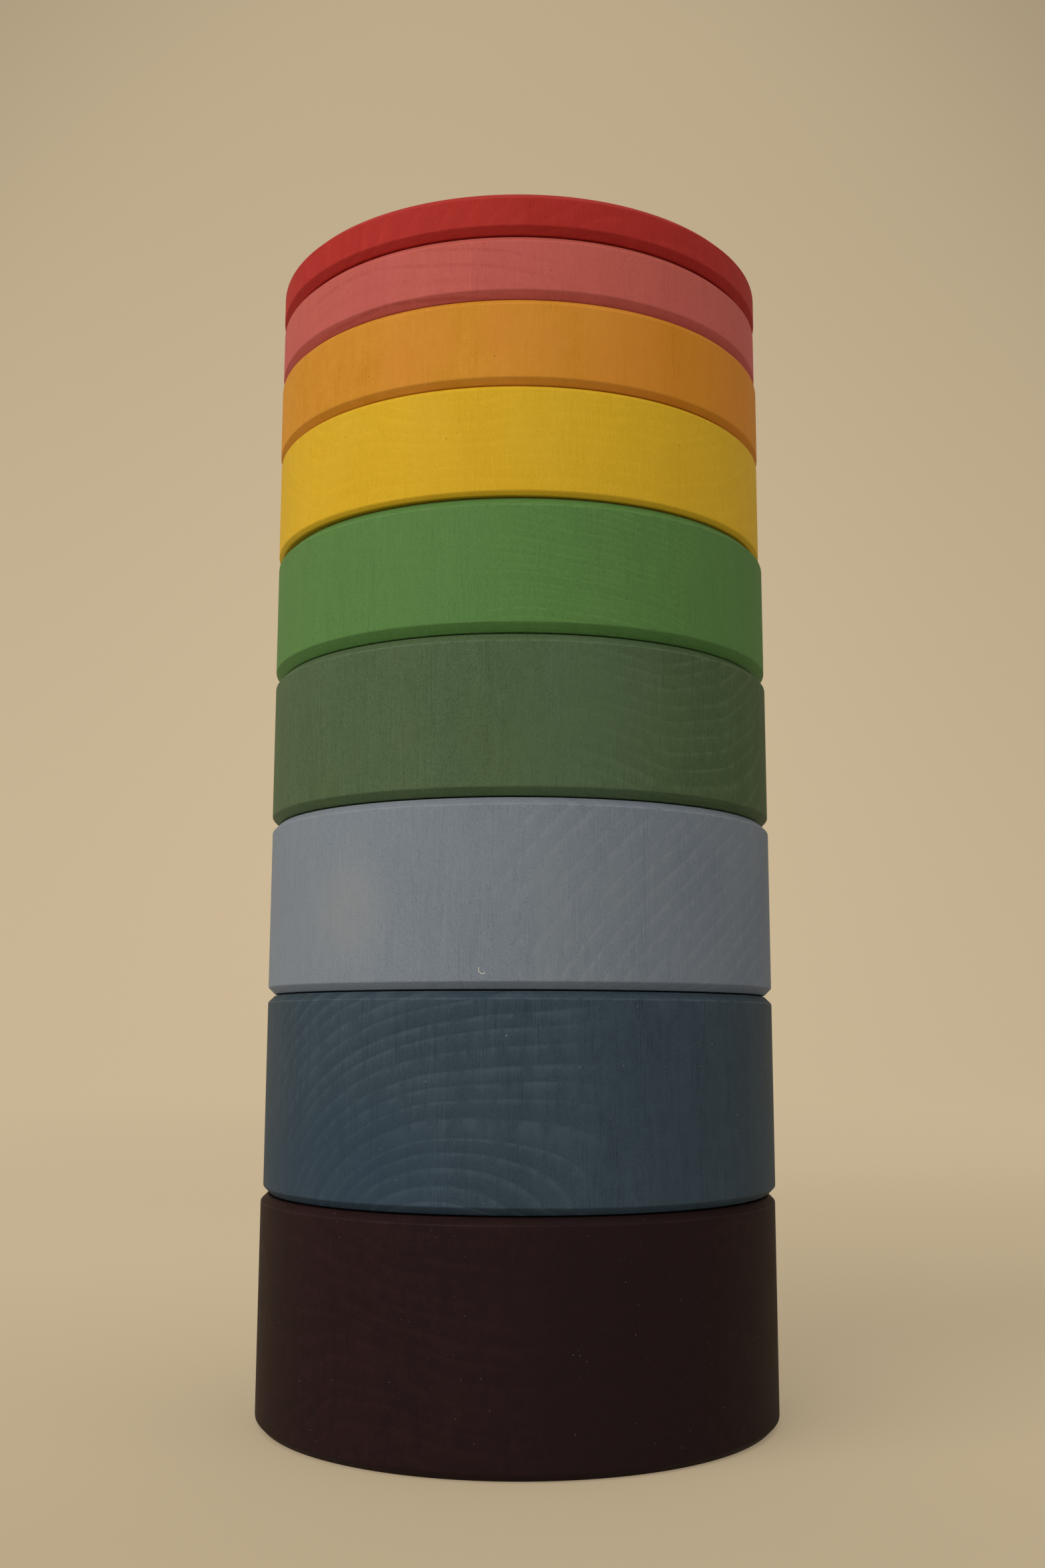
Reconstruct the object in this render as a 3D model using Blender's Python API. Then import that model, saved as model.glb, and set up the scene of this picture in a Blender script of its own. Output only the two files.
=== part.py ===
"""A wooden stacking tower: nine stained discs of one diameter, each thicker than the one above it.

The lowest disc is the base and carries a glued post. The eight discs above it are bored through and
drop over the post, so they lift off one after another. Every disc has the same bore, so they go back
on in any order. Metres, +Z up, origin at the middle of the underside of the base.
"""

import math

import bmesh
import bpy

# The discs
DISC_RADIUS = 0.060
TOP_DISC_HEIGHT = 0.010
HEIGHT_STEP = 0.005
RIM_CHAMFER = 0.0015
BORE_CHAMFER = 0.001

# The post, its socket in the base and its tip inside the top disc
POST_RADIUS = 0.010
POST_FOOT_CHAMFER = 0.001
POST_TIP_ROUNDING = 0.003
SOCKET_DEPTH = 0.025
TIP_BELOW_TOP = 0.002

# Clearances: loose bore round the post, glue line, and faces that rest on each other
BORE_PLAY = 0.001
GLUE_GAP = 0.0003
SEAT_GAP = 0.0003

# How finely the round shapes are divided
DISC_SIDES = 72
POST_SIDES = 48
ROUNDING_STEPS = 5
SMOOTH_ANGLE = math.radians(30)

# From the base up: name and stain, as 8-bit sRGB
DISCS = [
    ("base_disc", (40, 28, 26)),
    ("blue_disc", (56, 67, 75)),
    ("light_blue_disc", (117, 122, 126)),
    ("dark_green_disc", (75, 91, 61)),
    ("green_disc", (86, 121, 67)),
    ("yellow_disc", (204, 160, 41)),
    ("orange_disc", (200, 133, 53)),
    ("pink_disc", (181, 87, 77)),
    ("red_disc", (171, 55, 48)),
]
POST_COLOUR = (206, 170, 124)
STAIN_ROUGHNESS = 0.62
POST_ROUGHNESS = 0.55

BORE_RADIUS = POST_RADIUS + BORE_PLAY
SOCKET_RADIUS = POST_RADIUS + GLUE_GAP


def clear_scene():
    for item in list(bpy.data.objects):
        bpy.data.objects.remove(item, do_unlink=True)


def linear(channel):
    """One 8-bit sRGB channel as the linear value that a shader takes."""
    value = channel / 255
    if value <= 0.04045:
        return value / 12.92
    return ((value + 0.055) / 1.055) ** 2.4


def wood(name, colour, roughness):
    material = bpy.data.materials.new(name)
    material.use_nodes = True
    shader = material.node_tree.nodes["Principled BSDF"]
    shader.inputs["Base Color"].default_value = [*map(linear, colour), 1]
    shader.inputs["Roughness"].default_value = roughness
    shader.inputs["Metallic"].default_value = 0
    return material


def turned(name, outline, sides, closed):
    """Turn an outline of (radius, height) points about Z, as on a lathe.

    A closed outline makes a ring. An open one leaves a round hole at each end, which a flat cap closes.
    """
    shape = bmesh.new()
    points = [shape.verts.new((radius, 0, height)) for radius, height in outline]
    edges = [shape.edges.new(pair) for pair in zip(points, points[1:])]
    if closed:
        edges.append(shape.edges.new((points[-1], points[0])))
    bmesh.ops.spin(
        shape, geom=points + edges, cent=(0, 0, 0), axis=(0, 0, 1),
        angle=math.tau, steps=sides, use_merge=True, use_duplicate=False,
    )
    if not closed:
        bmesh.ops.holes_fill(shape, edges=shape.edges, sides=0)
    bmesh.ops.recalc_face_normals(shape, faces=shape.faces)
    mesh = bpy.data.meshes.new(name)
    shape.to_mesh(mesh)
    shape.free()
    mesh.shade_smooth()
    mesh.set_sharp_from_angle(angle=SMOOTH_ANGLE)
    return mesh


def rim(bottom, top):
    """The outer side of a disc, from its lower chamfer to its upper one."""
    inner = DISC_RADIUS - RIM_CHAMFER
    return [
        (inner, bottom), (DISC_RADIUS, bottom + RIM_CHAMFER),
        (DISC_RADIUS, top - RIM_CHAMFER), (inner, top),
    ]


def disc_mesh(name, height):
    """A loose disc with its chamfered bore. Its underside stands a seat gap above its origin."""
    mouth = BORE_RADIUS + BORE_CHAMFER
    bore = [
        (mouth, height), (BORE_RADIUS, height - BORE_CHAMFER),
        (BORE_RADIUS, SEAT_GAP + BORE_CHAMFER), (mouth, SEAT_GAP),
    ]
    return turned(name, rim(SEAT_GAP, height) + bore, DISC_SIDES, closed=True)


def base_mesh(name, height):
    """The base disc, whole underneath, with the blind socket for the post in its upper face."""
    mouth = SOCKET_RADIUS + BORE_CHAMFER
    floor = height - SOCKET_DEPTH
    socket = [(mouth, height), (SOCKET_RADIUS, height - BORE_CHAMFER), (SOCKET_RADIUS, floor)]
    return turned(name, rim(0, height) + socket, DISC_SIDES, closed=False)


def post_mesh(name, length):
    """The post, with a small chamfer at its foot and a rounded tip. Its origin is its foot."""
    outline = [(POST_RADIUS - POST_FOOT_CHAMFER, 0), (POST_RADIUS, POST_FOOT_CHAMFER)]
    for step in range(ROUNDING_STEPS + 1):
        angle = math.pi / 2 * step / ROUNDING_STEPS
        radius = POST_RADIUS - POST_TIP_ROUNDING * (1 - math.cos(angle))
        height = length - POST_TIP_ROUNDING * (1 - math.sin(angle))
        outline.append((radius, height))
    return turned(name, outline, POST_SIDES, closed=False)


def place(name, mesh, material, parent, height):
    """Put a piece on the tower's axis, its origin at a height above its parent's origin."""
    mesh.materials.append(material)
    piece = bpy.data.objects.new(name, mesh)
    bpy.context.collection.objects.link(piece)
    piece.parent = parent
    piece.location = (0, 0, height)
    return piece


def disc_height(index):
    """The height of a disc counted from the base. Each one below the top is a step thicker."""
    return TOP_DISC_HEIGHT + HEIGHT_STEP * (len(DISCS) - 1 - index)


def build_tower():
    """Each disc is the child of the disc it stands on, so lifting one lifts all above it."""
    tower = bpy.data.objects.new("stacking_tower", None)
    bpy.context.collection.objects.link(tower)
    carrier = tower
    seat = 0
    for index, (name, colour) in enumerate(DISCS):
        height = disc_height(index)
        make_mesh = disc_mesh if index else base_mesh
        stain = wood(name.replace("_disc", "_stain"), colour, STAIN_ROUGHNESS)
        carrier = place(name, make_mesh(name, height), stain, carrier, seat)
        seat = height

    foot = disc_height(0) - SOCKET_DEPTH + GLUE_GAP
    tip = sum(disc_height(index) for index in range(len(DISCS))) - TIP_BELOW_TOP
    bare_wood = wood("post_wood", POST_COLOUR, POST_ROUGHNESS)
    place("post", post_mesh("post", tip - foot), bare_wood, bpy.data.objects["base_disc"], foot)


clear_scene()
build_tower()
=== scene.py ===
# %% [markdown]
# # A stained wooden stacking tower
# Nine round wooden discs stand on each other over a hidden post. All have one diameter, and each is
# thicker than the one above it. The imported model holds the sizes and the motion. This lesson adds the
# looks: discs with softened, slightly uneven rims, and a stained wood whose growth rings, rays and
# sanding lines run through the solid, so that rims, faces and bores agree with each other.

# %% Load the fixed frame
import math
import random

import bpy
from mathutils import Matrix, Vector


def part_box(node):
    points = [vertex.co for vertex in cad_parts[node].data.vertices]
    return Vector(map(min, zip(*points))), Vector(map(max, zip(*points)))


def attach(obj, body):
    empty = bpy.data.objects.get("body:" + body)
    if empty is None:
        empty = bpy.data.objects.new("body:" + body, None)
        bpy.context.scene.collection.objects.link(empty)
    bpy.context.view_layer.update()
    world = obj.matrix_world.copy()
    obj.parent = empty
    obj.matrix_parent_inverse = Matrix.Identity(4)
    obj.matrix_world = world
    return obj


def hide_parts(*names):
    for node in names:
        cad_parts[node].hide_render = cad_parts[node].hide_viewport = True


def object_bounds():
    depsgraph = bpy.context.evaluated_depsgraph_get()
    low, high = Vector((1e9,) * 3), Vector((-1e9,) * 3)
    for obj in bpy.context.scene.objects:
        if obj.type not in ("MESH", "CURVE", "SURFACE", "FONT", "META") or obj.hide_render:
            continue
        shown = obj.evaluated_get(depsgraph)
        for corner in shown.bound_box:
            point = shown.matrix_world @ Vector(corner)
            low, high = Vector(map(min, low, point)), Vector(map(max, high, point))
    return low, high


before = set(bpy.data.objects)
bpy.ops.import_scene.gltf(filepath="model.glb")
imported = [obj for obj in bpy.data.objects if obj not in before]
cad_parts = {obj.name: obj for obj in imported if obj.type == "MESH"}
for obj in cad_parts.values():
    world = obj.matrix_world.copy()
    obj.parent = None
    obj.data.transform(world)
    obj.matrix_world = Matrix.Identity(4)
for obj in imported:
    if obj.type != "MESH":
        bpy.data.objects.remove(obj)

cad_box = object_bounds()
MM = 0.001
print("tower", [round(side / MM, 1) for side in cad_box[1] - cad_box[0]], "mm")

# %% [markdown]
# ## The camera
# The picture was taken low and close to the tower, with a fairly wide lens that looks up a little. The
# height where the seams turn from arches into bowls is the camera's own height, and it lies on the
# blue disc. Distance, lens and tilt were fitted to the seams and the sides. A wide lens from close by
# makes the lower discs look wider, so no lens shift is needed.

# %% Camera
CAMERA_PLACE = (0.8 * MM, -387.6 * MM, 85.9 * MM)
CAMERA_TILT = math.radians(8.94)
CAMERA_ROLL = math.radians(0.16)
CAMERA_LENS = 36.75
SENSOR_WIDTH = 36.0
NEAREST_SEEN = 10 * MM
QUARTER_TURN = math.radians(90)

camera_data = bpy.data.cameras.new("camera")
camera_data.lens = CAMERA_LENS
camera_data.sensor_width = SENSOR_WIDTH
camera_data.clip_start = NEAREST_SEEN
camera = bpy.data.objects.new("camera", camera_data)
bpy.context.collection.objects.link(camera)
upward = Matrix.Rotation(QUARTER_TURN + CAMERA_TILT, 4, "X")
camera.matrix_world = Matrix.Translation(CAMERA_PLACE) @ upward @ Matrix.Rotation(CAMERA_ROLL, 4, "Z")
bpy.context.scene.camera = camera
print("camera", round(-CAMERA_PLACE[1] / MM), "mm in front of the post, lens", CAMERA_LENS, "mm")

# %% [markdown]
# ## A lathe in code
# Everything here was turned, and so is its mesh. A Screw modifier would sweep one fixed outline, but
# a hand-run chamfer is never quite even. So this lathe asks for the outline again at every angle: the
# number of points stays the same, and their places may wander a little. The outline runs outwards
# underneath, up the outside and back in over the top, so that every face looks outwards.


# %% Lathe
def lathe(name, outline_at, sides, closed=False, start_cap=True):
    """Sweep outline_at(angle), a list of (radius, height), round Z. An open outline gets flat caps."""
    points = []
    for side in range(sides):
        angle = math.tau * side / sides
        outline = outline_at(angle)
        points += [(r * math.cos(angle), r * math.sin(angle), z) for r, z in outline]
    count = len(outline)
    faces = []
    for side in range(sides):
        here = side * count
        there = (side + 1) % sides * count
        for low in range(count if closed else count - 1):
            high = (low + 1) % count
            faces.append((here + low, there + low, there + high, here + high))
    if not closed:
        faces.append([side * count + count - 1 for side in range(sides)])
        if start_cap:
            faces.append([side * count for side in reversed(range(sides))])
    mesh = bpy.data.meshes.new(name)
    mesh.from_pydata(points, [], faces)
    mesh.shade_smooth()
    piece = bpy.data.objects.new(name, mesh)
    bpy.context.collection.objects.link(piece)
    return piece


print("lathe ready")

# %% [markdown]
# ## Sanded edges and an unsteady hand
# No wooden edge stays sharp, so each corner of an outline becomes a small curve. The wobble of a
# chamfer is the sum of a few waves round the piece. Their sizes come from a seed, so every run gives
# the same discs.

# %% Outline helpers
WAVE_COUNT = 7
WAVE_LEAST = 0.3


def soften(outline, radius, steps, closed=True):
    """Turn each corner of an outline into a small curve that begins and ends radius away from it."""
    soft = []
    for index, point in enumerate(outline):
        if not closed and index in (0, len(outline) - 1):
            soft.append(point)
            continue
        corner = Vector(point)
        start = corner + (Vector(outline[index - 1]) - corner).normalized() * radius
        end = corner + (Vector(outline[(index + 1) % len(outline)]) - corner).normalized() * radius
        for step in range(steps + 1):
            t = step / steps
            soft.append(tuple(start * (1 - t) ** 2 + corner * 2 * t * (1 - t) + end * t ** 2))
    return soft


def ripple(seed, size):
    """A smooth closed wobble round a turned piece, from a few seeded waves, at most size high."""
    dice = random.Random(seed)
    counts = range(1, WAVE_COUNT + 1)
    waves = [(k, dice.uniform(WAVE_LEAST, 1) / math.sqrt(k), dice.uniform(0, math.tau)) for k in counts]
    total = sum(weight for k, weight, phase in waves)
    return lambda angle: size * sum(w * math.cos(k * angle + p) for k, w, p in waves) / total


print("outlines are softened, with", WAVE_COUNT, "waves round each rim")

# %% [markdown]
# ## Small tools for shader nodes
# Wood is built below as a solid texture in millimetres, so a ring spacing or the width of a scratch
# is written as a real size. Each helper adds a few nodes and hands back an output, and each value
# that it takes may be a plain number or the output of another node.

# %% Node tools
NOISE_MIDDLE = 0.5
NOISE_GAIN = 3.0


def feed(tree, socket, value):
    """Link another node's output to a socket, or write a plain value into it."""
    if isinstance(value, bpy.types.NodeSocket):
        tree.links.new(value, socket)
    else:
        socket.default_value = value


def add_node(tree, kind, inputs, **settings):
    """Add a node, make its settings, feed its inputs by name or number, and hand back its outputs."""
    node = tree.nodes.new(kind)
    for name, value in settings.items():
        setattr(node, name, value)
    for label, value in inputs.items():
        feed(tree, node.inputs[label], value)
    return node.outputs


def calc(tree, operation, *values):
    return add_node(tree, "ShaderNodeMath", dict(enumerate(values)), operation=operation)["Value"]


def product(tree, first, *others):
    for other in others:
        first = calc(tree, "MULTIPLY", first, other)
    return first


def pushed(tree, start, *pushes):
    """start plus each signal times its weight."""
    for signal, weight in pushes:
        start = calc(tree, "MULTIPLY_ADD", signal, weight, start)
    return start


def apart(tree, one, other):
    """How far apart two values are."""
    return calc(tree, "ABSOLUTE", calc(tree, "SUBTRACT", one, other))


def hypotenuse(tree, one, other):
    """The length of a step that goes this far in one direction and that far across it."""
    return calc(tree, "SQRT", calc(tree, "ADD", product(tree, one, one), product(tree, other, other)))


def ease(tree, value, none, full):
    """A smooth step: 0 where value is at none, 1 where it is at full, whichever is larger."""
    inputs = {"Value": value, "From Min": none, "From Max": full}
    return add_node(tree, "ShaderNodeMapRange", inputs, interpolation_type="SMOOTHSTEP")["Result"]


def swing(tree, value, gain=NOISE_GAIN):
    """A noise value, which lies round a half, as a swing round zero that seldom passes 1."""
    return calc(tree, "MULTIPLY_ADD", value, gain, -gain * NOISE_MIDDLE)


print("tools for numbers ready")


# %% Vector, noise and colour tools
def vector_calc(tree, operation, *values):
    outputs = add_node(tree, "ShaderNodeVectorMath", dict(enumerate(values)), operation=operation)
    return outputs["Value" if operation in ("LENGTH", "DISTANCE", "DOT_PRODUCT") else "Vector"]


def split_axes(tree, vector):
    return add_node(tree, "ShaderNodeSeparateXYZ", {"Vector": vector})


def join_axes(tree, x, y, z):
    return add_node(tree, "ShaderNodeCombineXYZ", {"X": x, "Y": y, "Z": z})["Vector"]


def from_axis(tree, point):
    """The distance from the Z axis."""
    return vector_calc(tree, "LENGTH", vector_calc(tree, "MULTIPLY", point, (1.0, 1.0, 0.0)))


def squashed_distance(tree, point, middle, squash):
    """How far a point is from a middle, where each axis counts by its own factor."""
    away = vector_calc(tree, "SUBTRACT", point, middle)
    return vector_calc(tree, "LENGTH", vector_calc(tree, "MULTIPLY", away, squash))


def noise(tree, point, grain, detail=0.0, output="Fac", depth=None):
    """Noise with blobs of about grain = (x, y, z) millimetres. depth adds a fourth coordinate."""
    inputs = {"Vector": vector_calc(tree, "DIVIDE", point, grain), "Scale": 1, "Detail": detail}
    if depth is None:
        return add_node(tree, "ShaderNodeTexNoise", inputs)[output]
    inputs["W"] = depth
    return add_node(tree, "ShaderNodeTexNoise", inputs, noise_dimensions="4D")[output]


def blend_colour(tree, share, first, second):
    """A mix of two colours. Their sockets share a name with others, so they go by number."""
    return add_node(tree, "ShaderNodeMix", {"Factor": share, 6: first, 7: second}, data_type="RGBA")[2]


print("tools for vectors, noise and colours ready")

# %% [markdown]
# ## Node groups
# An effect that several woods share becomes a node group with named inputs and outputs. It is made
# once and placed in each material with its own settings, so a ring or a scratch is drawn in the same
# way on every disc. A function makes the nodes, and what it returns becomes the group's outputs.


# %% Group tools
ORIGIN = (0.0, 0.0, 0.0)


def add_socket(tree, label, direction, is_vector):
    kind = "NodeSocketVector" if is_vector else "NodeSocketFloat"
    return tree.interface.new_socket(label, in_out=direction, socket_type=kind)


def new_group(name, inputs, draw):
    """A shader node group. draw(tree, given) makes its nodes and returns its outputs by name."""
    tree = bpy.data.node_groups.new(name, "ShaderNodeTree")
    for label, start in inputs.items():
        add_socket(tree, label, "INPUT", isinstance(start, tuple)).default_value = start
    outputs = draw(tree, tree.nodes.new("NodeGroupInput").outputs)
    for label, value in outputs.items():
        add_socket(tree, label, "OUTPUT", value.type == "VECTOR")
    add_node(tree, "NodeGroupOutput", outputs)
    print(name, "group with", len(tree.nodes), "nodes")
    return tree


def place_group(tree, group, values):
    return add_node(tree, "ShaderNodeGroup", values, node_tree=group, label=group.name)


def seeded(tree, given):
    """The point moved away by the seed, so that each disc reads another part of the noise."""
    return vector_calc(tree, "ADD", given["Point"], given["Seed"])


print("group tools ready")

# %% [markdown]
# ## Floor and backdrop
# The tower stands on plain sand-coloured paper that curves up behind it, so no horizon shows. Here a
# shallow bowl does the same in every direction: a flat floor, a wide bend and a wall, made on the
# lathe.

# %% Bowl of paper
FLOOR_RADIUS = 1.9
FLOOR_MIDDLE = 0.3
BEND_RADIUS = 0.9
BEND_STEP = 6
WALL_TOP = 6.0
BOWL_SIDES = 96


def bend_point(degrees):
    """A point of the bend, from 0 where it leaves the floor to 90 where it meets the wall."""
    angle = math.radians(degrees)
    return FLOOR_RADIUS + BEND_RADIUS * math.sin(angle), BEND_RADIUS * (1 - math.cos(angle))


bowl_outline = [(FLOOR_RADIUS + BEND_RADIUS, WALL_TOP)]
bowl_outline += [bend_point(degrees) for degrees in range(90, -1, -BEND_STEP)]
bowl_outline += [(FLOOR_MIDDLE, 0)]
bowl = lathe("paper_bowl", lambda angle: bowl_outline, BOWL_SIDES, start_cap=False)
print("paper bowl", len(bowl.data.polygons), "faces")

# %% [markdown]
# ## Painted light and shade on the paper
# The paper's glow carries painted light and shade. The backdrop is brightest low down and behind the
# tower, and falls off in painted shade to the right, the sides and the corners. The floor is lighter
# behind the tower, darker in front of it, and holds a painted shadow, wide and soft, that runs back at
# its right. Each change is written on its own: where it begins, where it is full, in metres, and how
# much brightness it adds.

# %% Paper glow
GLOW_AT_TOWER = 0.86
LIGHT_BEHIND_TOWER = (-0.02, 0.3, 0.15)
SHADE_BEFORE_TOWER = (-0.03, -0.12, -0.12)
LIGHT_FURTHER_BACK = (0.4, 0.9, 0.05)
SHADOW_SIDE = (-0.02, 0.1)
SHADOW_START = (0.0, 0.18)
SHADOW_END = (0.8, 0.2)
PAINTED_SHADOW_DEPTH = -0.2

GLOW_BACKDROP = 0.85
LOW_WALL_LIGHT = (2.2, 0.1, 0.13)
RIGHTWARD_SHADE = -0.035
BRIGHT_SPOT = (0.0, 0.0, 0.9)
BRIGHT_SQUASH = (0.9, 0.0, 0.7)
BRIGHT_MIDDLE = (1.0, 0.2, 0.04)
CORNER_SHADE = (0.9, 1.65, 0.21)
SIDE_SHADE = (0.2, 1.4, 0.05)
WALL_ONLY = (1.0, 2.2)


def change(tree, value, begin, full, amount):
    """A push that adds nothing where value is at begin, and amount where it is at full."""
    return ease(tree, value, begin, full), amount


# Painted light and shade on the floor near the tower, with a painted shadow at its right.
def floor_glow(tree, axes):
    painted_shadow = product(tree, ease(tree, axes["Y"], *SHADOW_START), ease(tree, axes["Y"], *SHADOW_END))
    painted_shadow = product(tree, ease(tree, axes["X"], *SHADOW_SIDE), painted_shadow)
    back_and_front = [change(tree, axes["Y"], *row) for row in (LIGHT_BEHIND_TOWER, SHADE_BEFORE_TOWER, LIGHT_FURTHER_BACK)]
    return pushed(tree, GLOW_AT_TOWER, *back_and_front, (painted_shadow, PAINTED_SHADOW_DEPTH))


# Painted light and shade on the backdrop: a bright middle, darker to the right, the sides and corners.
def backdrop_glow(tree, place, axes):
    from_spot = squashed_distance(tree, place, BRIGHT_SPOT, BRIGHT_SQUASH)
    from_middle = calc(tree, "ABSOLUTE", axes["X"])
    painted_fall_off = pushed(tree, 0.0, change(tree, from_middle, *SIDE_SHADE), change(tree, from_spot, *CORNER_SHADE))
    painted_fall_off = product(tree, painted_fall_off, ease(tree, axes["Y"], *WALL_ONLY))
    glow = pushed(tree, GLOW_BACKDROP, change(tree, axes["Z"], *LOW_WALL_LIGHT), (axes["X"], RIGHTWARD_SHADE))
    return pushed(tree, calc(tree, "SUBTRACT", glow, painted_fall_off), change(tree, from_spot, *BRIGHT_MIDDLE))


def paper_glow(tree, place, far):
    """The floor's glow near the tower, which turns into the backdrop's glow as far goes from 0 to 1."""
    axes = split_axes(tree, place)
    near = floor_glow(tree, axes)
    change_to_far = calc(tree, "SUBTRACT", backdrop_glow(tree, place, axes), near)
    return calc(tree, "ADD", product(tree, change_to_far, far), near)


print("paper glows at", GLOW_AT_TOWER, "by the tower and", GLOW_BACKDROP, "behind it")

# %% [markdown]
# ## Paper that doesn't tint the wood
# Near the tower the paper is mostly a matt surface that takes a shadow. The photograph's shadow is
# very soft, so a part of its brightness is a steady glow, and further off the glow takes over and
# makes the plain backdrop. Rays that carry light to the object don't see it: they pass through the
# backdrop to the even world behind it, and the floor returns them in neutral grey. So the wood is lit
# without a colour cast, and its stains can be written as they look.

# %% Paper
SAND = (203, 183, 150)
NEUTRAL_FLOOR = (160, 160, 160)
BLACK = (0, 0, 0)
PAPER_ROUGHNESS = 0.9
GLOW_SHARE_NEAR = 0.4
FAR_OFF = (0.35, 2.2)


def linear(*channels):
    """8-bit sRGB channels as the linear colour that a shader takes."""
    values = [channel / 255 for channel in channels]
    flat = [v / 12.92 if v <= 0.04045 else ((v + 0.055) / 1.055) ** 2.4 for v in values]
    return (*flat, 1.0)


def new_material(name):
    material = bpy.data.materials.new(name)
    material.use_nodes = True
    return material, material.node_tree, material.node_tree.nodes["Principled BSDF"]


def sand_paper():
    material, tree, shader = new_material("sand_paper")
    path = tree.nodes.new("ShaderNodeLightPath").outputs
    in_picture = calc(tree, "MAXIMUM", path["Is Camera Ray"], path["Is Glossy Ray"])
    in_picture = calc(tree, "MAXIMUM", in_picture, path["Is Transmission Ray"])
    place = tree.nodes.new("ShaderNodeTexCoord").outputs["Object"]
    far = ease(tree, from_axis(tree, place), *FAR_OFF)
    glow_share = pushed(tree, GLOW_SHARE_NEAR, (far, 1 - GLOW_SHARE_NEAR))

    matt_sand = blend_colour(tree, glow_share, linear(*SAND), linear(*BLACK))
    floor_colour = blend_colour(tree, in_picture, linear(*NEUTRAL_FLOOR), matt_sand)
    feed(tree, shader.inputs["Base Color"], floor_colour)
    shader.inputs["Roughness"].default_value = PAPER_ROUGHNESS
    shader.inputs["Specular IOR Level"].default_value = 0.0
    shader.inputs["Emission Color"].default_value = linear(*SAND)
    glow = product(tree, paper_glow(tree, place, far), glow_share, in_picture)
    feed(tree, shader.inputs["Emission Strength"], glow)

    clear = tree.nodes.new("ShaderNodeBsdfTransparent").outputs["BSDF"]
    unseen = product(tree, far, calc(tree, "SUBTRACT", 1.0, in_picture))
    surface = add_node(tree, "ShaderNodeMixShader", {"Fac": unseen, 1: shader.outputs["BSDF"], 2: clear})
    feed(tree, tree.nodes["Material Output"].inputs["Surface"], surface["Shader"])
    return material


paper = sand_paper()
bowl.data.materials.append(paper)
print("paper with", len(paper.node_tree.nodes), "nodes")

# %% [markdown]
# ## Light
# The photograph has one large soft source at the left, as from a window, and an even room that fills
# the right side to a little over half. A wide area lamp stands for the window, two metres away and as
# far round to the left as forward, and the world stands for the room. The level is plain: a colour
# that faces half towards the window comes out about as written.

# %% Lights
TOWER_MIDDLE = Vector((0, 0, cad_box[1].z / 2))
WINDOW_PLACE = (-1.2, -1.34, 1.1)
WINDOW_SIZE = 2.0
WINDOW_WATTS = 25
WHITE = (255, 255, 255)
ROOM_STRENGTH = 0.71

window_data = bpy.data.lights.new("window", "AREA")
window_data.size = WINDOW_SIZE
window_data.energy = WINDOW_WATTS
window = bpy.data.objects.new("window", window_data)
bpy.context.collection.objects.link(window)
window.location = WINDOW_PLACE
window.rotation_euler = (TOWER_MIDDLE - Vector(WINDOW_PLACE)).to_track_quat("-Z", "Y").to_euler()
window.visible_camera = False
room = bpy.data.worlds.new("room")
room.use_nodes = True
room_light = room.node_tree.nodes["Background"]
room_light.inputs["Color"].default_value = linear(*WHITE)
room_light.inputs["Strength"].default_value = ROOM_STRENGTH
bpy.context.scene.world = room
bpy.context.scene.view_settings.view_transform = "Standard"
print("window", round((TOWER_MIDDLE - Vector(WINDOW_PLACE)).length, 2), "m away,", WINDOW_WATTS, "W")

# %% [markdown]
# ## Where a point lay in the log
# The arcs and slants on the rims are growth rings. Read off the photograph, they fit logs that stood
# nearly along the tower and were cut at a slant: such a cut crosses rings a millimetre wide at a low
# angle and spreads them into bands of three or four. This group turns a point into the log's own
# axes, and gives its distance from the pith and the spoke that it lies on. A slow noise bends the
# log, because no tree grows as a true cylinder.

# %% Log space group
BEND_GRAIN = (26.0, 26.0, 40.0)
BEND_SWING = (2.0, 2.0, 0.0)


def draw_log_space(tree, given):
    from_pith = vector_calc(tree, "SUBTRACT", given["Point"], given["Pith"])
    turn = {"Vector": from_pith, "Rotation": given["Lean"]}
    turned = add_node(tree, "ShaderNodeVectorRotate", turn, rotation_type="EULER_XYZ")
    moved = vector_calc(tree, "ADD", given["Point"], given["Pith"])
    bend = noise(tree, moved, BEND_GRAIN, 1.0, "Color")
    bend = vector_calc(tree, "SUBTRACT", bend, (NOISE_MIDDLE,) * 3)
    bend = vector_calc(tree, "MULTIPLY", bend, BEND_SWING)
    bend = vector_calc(tree, "MULTIPLY", bend, given["Wander"])
    in_log = vector_calc(tree, "ADD", turned["Vector"], bend)
    radius = from_axis(tree, in_log)
    return {
        "Radius": radius,
        "Spoke": vector_calc(tree, "DIVIDE", in_log, join_axes(tree, radius, radius, 1.0)),
    }


log_space = new_group(
    "log_space", {"Point": ORIGIN, "Pith": ORIGIN, "Lean": ORIGIN, "Wander": 1.0}, draw_log_space,
)

# %% [markdown]
# ## Growth rings
# Each ring grows paler outwards and ends in a thin pale line, and the stain makes that line stand
# out, because it soaks deeper into the soft early wood behind it. The fraction of radius over ring
# width gives such a saw-tooth. Noise makes good and bad years, and a random number per ring makes
# some lines bolder and some bands darker.

# %% Growth rings group
YEAR_DRIFT = 0.55
SEASON_POWER = 1.3
LATE_WOOD = (1.0, 0.88)
LINE_RISE = (0.6, 0.86)
BAND_DARKENING = 0.5
LINE_LEAST = 0.3


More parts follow.
